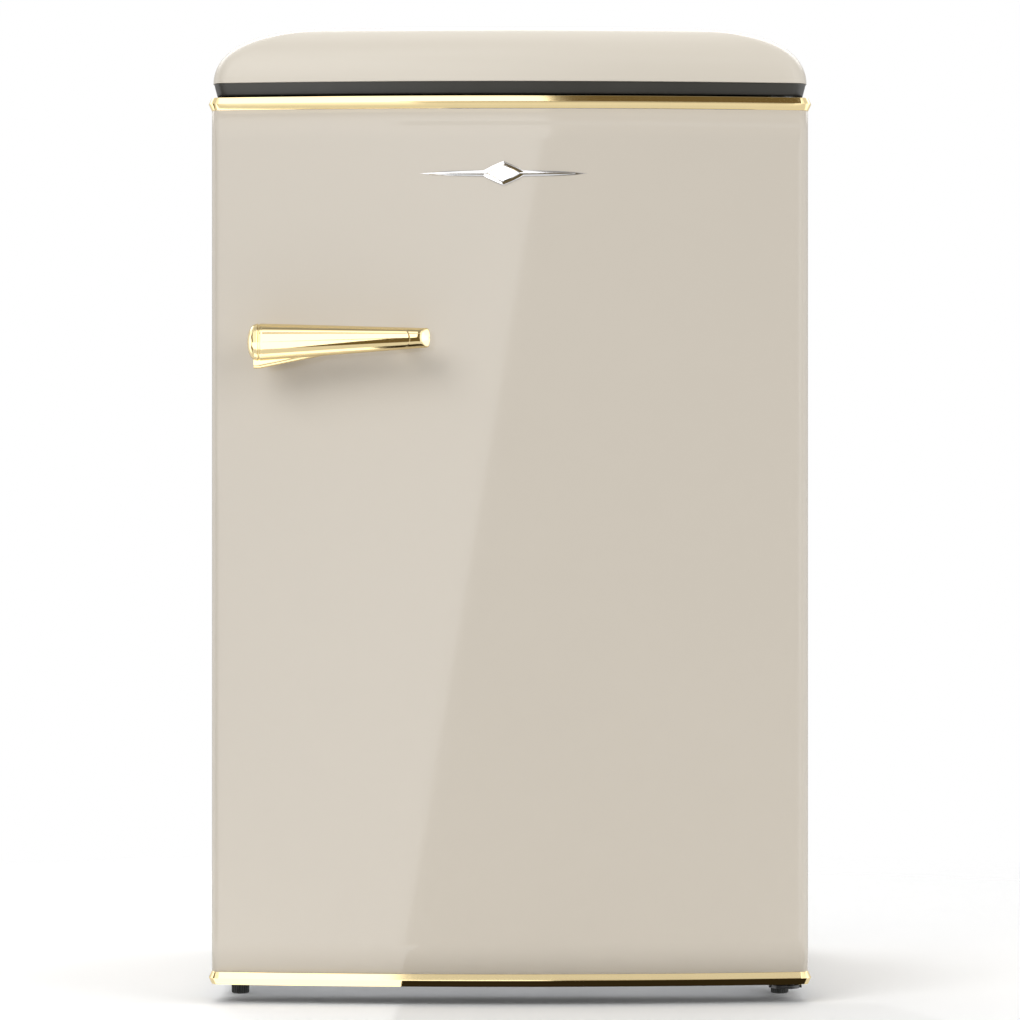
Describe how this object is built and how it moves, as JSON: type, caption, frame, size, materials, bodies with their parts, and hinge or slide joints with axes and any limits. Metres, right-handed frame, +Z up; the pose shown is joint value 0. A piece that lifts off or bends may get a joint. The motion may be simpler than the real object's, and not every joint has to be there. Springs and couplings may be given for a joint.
{
  "type": "mini fridge",
  "caption": "Retro counter-height fridge: bowed door, domed worktop, gold trims and tapered handle, shelves, drawer, ice box, door racks and rear cooling circuit.",
  "frame": {"origin": "on the floor, at the centre of the footprint's bounding box", "axes": "+Z up; the door faces -Y; +X is on the right of someone facing the door, on the hinge side"},
  "size_m": [0.552, 0.6151, 0.895],
  "materials": {
    "cabinet_enamel": "gloss",
    "worktop_gloss": "gloss",
    "underframe_grey": "satin",
    "gold_plating": "polished",
    "badge_chrome": "polished",
    "liner_white": "satin",
    "insulation_foam": "matte",
    "gasket_rubber": "satin",
    "zinc_steel": "satin",
    "screw_steel": "satin",
    "black_paint": "satin",
    "copper_pipe": "satin",
    "shelf_glass": "polished",
    "clear_plastic": "gloss",
    "evaporator_aluminium": "satin",
    "white_plastic": "satin",
    "lamp_diffuser": "gloss",
    "circuit_board": "satin",
    "bush_nylon": "satin",
    "black_plastic": "satin",
    "grommet_rubber": "matte",
    "tray_plastic": "satin"
  },
  "bodies": {
    "cabinet": {"outer_wrap": "cabinet_enamel", "inner_liner": "liner_white", "cabinet_foam": "insulation_foam", "front_lower_rail": "cabinet_enamel", "bottom_panel": "zinc_steel", "back_panel": "zinc_steel", "foot_inserts": "zinc_steel", "drain_tube": "white_plastic", "worktop_dome": "worktop_gloss", "worktop_underframe": "underframe_grey", "upper_hinge": "zinc_steel", "lower_hinge": "black_paint", "left_foot_plate": "zinc_steel", "hinge_screws": "screw_steel", "rear_feet": "black_plastic", "shelf_glass_upper": "shelf_glass", "shelf_glass_lower": "shelf_glass", "crisper_cover_glass": "shelf_glass", "shelf_edge_profiles": "white_plastic", "evaporator_box": "evaporator_aluminium", "evaporator_hangers": "white_plastic", "ice_box_frame": "white_plastic", "control_housing": "white_plastic", "lamp_cover": "lamp_diffuser", "led_board": "circuit_board", "compressor": "black_paint", "compressor_plate": "zinc_steel", "compressor_grommets": "grommet_rubber", "compressor_bolts": "screw_steel", "relay_cover": "black_plastic", "evaporating_tray": "tray_plastic", "tray_arms": "zinc_steel", "condenser_tube": "black_paint", "condenser_wires": "black_paint", "condenser_clips": "black_plastic", "wall_spacers": "black_plastic", "filter_drier": "copper_pipe", "refrigerant_pipes": "copper_pipe"},
    "door": {"door_skin": "cabinet_enamel", "door_foam": "insulation_foam", "door_liner": "liner_white", "door_cap_top": "underframe_grey", "door_cap_bottom": "underframe_grey", "hinge_bushes": "bush_nylon", "trim_strip_top": "gold_plating", "trim_strip_bottom": "gold_plating", "door_gasket": "gasket_rubber", "door_rack_upper": "clear_plastic", "door_rack_middle": "clear_plastic", "door_rack_lower": "clear_plastic", "handle_bar": "gold_plating", "handle_posts": "gold_plating", "handle_screws": "screw_steel", "front_badge": "badge_chrome"},
    "crisper": {"crisper_drawer": "clear_plastic"},
    "ice_door": {"ice_box_door": "white_plastic"},
    "knob": {"thermostat_knob": "white_plastic"},
    "plunger": {"door_switch_plunger": "white_plastic"},
    "foot_left": {"front_foot_left": "black_plastic"},
    "foot_right": {"front_foot_right": "black_plastic"}
  },
  "joints": [
    {"name": "door_hinge", "type": "hinge", "parent": "cabinet", "child": "door", "pos_m": [0.255, -0.219, 0.42], "axis": [0, 0, 1], "range_deg": [0, 130]},
    {"name": "crisper_slide", "type": "slide", "parent": "cabinet", "child": "crisper", "axis": [0, -1, 0], "range_m": [0, 0.12002]},
    {"name": "ice_door_hinge", "type": "hinge", "parent": "cabinet", "child": "ice_door", "pos_m": [0.207, -0.06, 0.719], "axis": [0, 0, 1], "range_deg": [0, 78.01]},
    {"name": "switch_plunger_slide", "type": "slide", "parent": "cabinet", "child": "plunger", "axis": [0, -1, 0], "range_m": [0, 0.00602]},
    {"name": "thermostat_turn", "type": "hinge", "parent": "cabinet", "child": "knob", "pos_m": [0.1896, -0.062, 0.603], "axis": [-1, 0, 0], "range_deg": [0, 270]},
    {"name": "foot_left_turn", "type": "hinge", "parent": "cabinet", "child": "foot_left", "pos_m": [-0.252, -0.15, 0.012], "axis": [0, 0, 1], "continuous": true},
    {"name": "foot_right_turn", "type": "hinge", "parent": "cabinet", "child": "foot_right", "pos_m": [0.252, -0.15, 0.012], "axis": [0, 0, 1], "continuous": true}
  ],
  "couplings": [
    {"joint": "crisper_slide", "follows": "door_hinge", "m_per_rad": 0.05289},
    {"joint": "ice_door_hinge", "follows": "door_hinge", "ratio": 0.6},
    {"joint": "switch_plunger_slide", "follows": "door_hinge", "m_per_rad": 0.002644}
  ]
}
